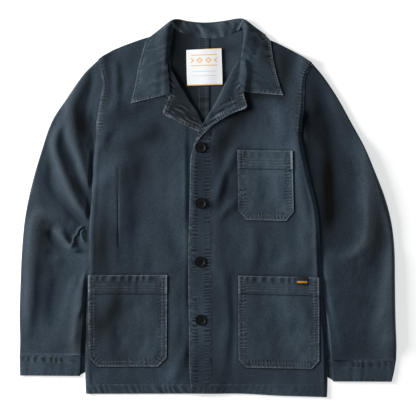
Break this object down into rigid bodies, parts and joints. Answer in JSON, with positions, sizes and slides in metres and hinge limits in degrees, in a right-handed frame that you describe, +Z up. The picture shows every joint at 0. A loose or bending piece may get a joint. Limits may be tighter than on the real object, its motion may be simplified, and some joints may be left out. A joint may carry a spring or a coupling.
{
  "type": "chore jacket",
  "caption": "Hip-length buttoned work jacket laid flat on its back, with a fold-over collar, notched lapels, patch pockets and straight sleeves at its sides.",
  "frame": {"origin": "on the surface that the jacket lies on, below the middle of its outline", "axes": "+Z up from the surface, +Y towards the collar, +X towards the wearer's left sleeve"},
  "size_m": [0.79, 0.7913, 0.0163],
  "materials": {
    "cloth": "washed slate-blue brushed cotton, soft and matt",
    "cloth_facing": "the same cloth, paler and worn at its puckered edges",
    "cloth_pocket": "the same cloth, a little paler, with worn stitched edges",
    "cloth_inside": "dark inner face of the back",
    "label": "woven off-white label",
    "tab": "woven black tab",
    "button": "dark brown-black, satin"
  },
  "bodies": {
    "root": {"back_right": "cloth_inside", "back_left": "cloth_inside", "front_right": "cloth", "front_left": "cloth", "sleeve_right": "cloth", "sleeve_left": "cloth", "cuff_right": "cloth", "cuff_left": "cloth", "lapel_right": "cloth_facing", "lapel_left": "cloth_facing", "collar": "cloth_facing", "pocket_lower_right": "cloth_pocket", "pocket_lower_left": "cloth_pocket", "pocket_chest": "cloth_pocket", "neck_label": "label", "pocket_tab": "tab", "button_1": "button", "button_2": "button", "button_3": "button", "button_4": "button"}
  },
  "joints": []
}
